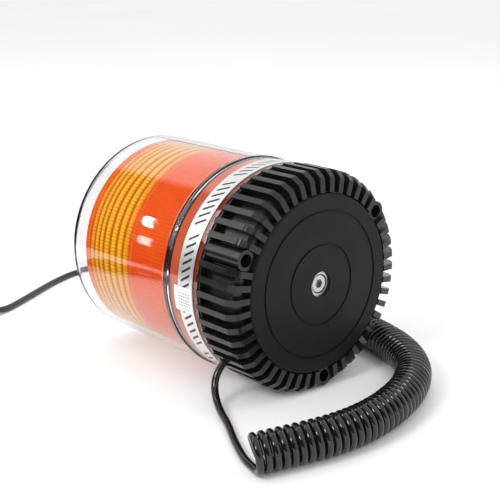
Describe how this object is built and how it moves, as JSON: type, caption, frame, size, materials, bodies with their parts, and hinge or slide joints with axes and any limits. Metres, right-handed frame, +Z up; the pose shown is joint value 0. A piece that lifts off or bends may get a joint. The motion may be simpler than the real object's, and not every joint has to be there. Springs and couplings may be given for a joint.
{
  "type": "magnetic warning beacon",
  "caption": "Round amber strobe beacon on its side: clear cover over a ribbed lens, finned black magnetic base, curly lead and 12 V lighter plug.",
  "frame": {"origin": "centre of the floor area under the lamp lying on its side, without its lead and plug", "axes": "+X along the lamp's axis out of the magnet face, +Z up from the surface it lies on, +Y away from the side where the lead leaves"},
  "size_m": [0.348, 0.2845, 0.122],
  "materials": {
    "clear_plastic": "clear glossy moulded plastic",
    "amber_plastic": "amber translucent moulded plastic, ribbed",
    "rubber": "matt black rubber",
    "foil_label": "glossy silver foil with plain dark marks",
    "sticker_paper": "white paper with a grid of dots",
    "black_plastic": "satin black moulded plastic",
    "cord_jacket": "glossy black cord jacket",
    "wire_insulation": "red insulation",
    "zinc_steel": "zinc plated",
    "ferrite": "dark grey sintered ferrite",
    "board_laminate": "green laminate",
    "brass_parts": "bright turned",
    "winding_tape": "yellow tape over windings",
    "capacitor_sleeve": "dark blue sleeve",
    "component_epoxy": "black moulded epoxy",
    "bare_aluminium": "bare extruded",
    "resistor_lacquer": "tan lacquer",
    "white_plastic": "white moulded plastic",
    "tube_glass": "clear glass",
    "nickel_contact": "nickel plated",
    "nose_plastic": "glossy black moulded plastic",
    "red_lens": "red translucent",
    "red_plastic": "glossy red moulded plastic"
  },
  "bodies": {
    "lamp": {"clear_cover": "clear_plastic", "amber_lens": "amber_plastic", "seal_ring": "rubber", "label_band": "foil_label", "batch_sticker": "sticker_paper", "base_housing": "black_plastic", "magnet_boot": "rubber", "cord_grommet": "rubber", "cord_tail": "cord_jacket", "supply_wires": "wire_insulation", "cover_screws": "zinc_steel", "magnet_cup": "zinc_steel", "ring_magnet": "ferrite", "magnet_screw": "zinc_steel", "magnet_nut": "zinc_steel", "circuit_board": "board_laminate", "board_standoffs": "brass_parts", "board_screws": "zinc_steel", "transformer_core": "ferrite", "inverter_transformer": "winding_tape", "storage_capacitor": "capacitor_sleeve", "timing_capacitors": "capacitor_sleeve", "power_transistor": "component_epoxy", "heat_sink": "bare_aluminium", "trigger_transformer": "component_epoxy", "resistors": "resistor_lacquer", "rectifier_diodes": "component_epoxy", "tube_pillar": "white_plastic", "flash_tube": "tube_glass", "tube_electrodes": "nickel_contact", "trigger_wire": "nickel_contact", "tube_leads": "nickel_contact", "near_lead": "cord_jacket", "curly_cord": "cord_jacket", "far_lead": "cord_jacket", "plug_strain_relief": "cord_jacket", "plug_shell_upper": "black_plastic", "plug_shell_lower": "black_plastic", "plug_screws": "zinc_steel", "plug_nose_ring": "nose_plastic", "spring_seat": "brass_parts", "contact_spring": "zinc_steel", "plug_lamp": "red_lens"},
    "tip": {"centre_contact": "nickel_contact", "plug_fuse": "tube_glass"},
    "contact_left": {"side_contact_left": "nickel_contact"},
    "contact_right": {"side_contact_right": "nickel_contact"},
    "rocker": {"switch_rocker": "red_plastic"}
  },
  "joints": [
    {"name": "tip_press", "type": "slide", "parent": "lamp", "child": "tip", "axis": [0, 1, 0], "range_m": [0, 0.0035], "stiffness_N_per_m": 600, "springref_m": -0.004, "deforming": ["contact_spring"]},
    {"name": "left_contact_press", "type": "hinge", "parent": "lamp", "child": "contact_left", "pos_m": [-0.1458, -0.1545, 0.0112], "axis": [0, 0, 1], "range_deg": [-6, 0], "stiffness_Nm_per_rad": 0.05, "springref_deg": 2.86},
    {"name": "right_contact_press", "type": "hinge", "parent": "lamp", "child": "contact_right", "pos_m": [-0.161, -0.1545, 0.0112], "axis": [0, 0, 1], "range_deg": [0, 6], "stiffness_Nm_per_rad": 0.05, "springref_deg": -2.86},
    {"name": "switch_rock", "type": "hinge", "parent": "lamp", "child": "rocker", "pos_m": [-0.1534, -0.136, 0.0198], "axis": [1, 0, 0], "range_deg": [0, 16]}
  ]
}
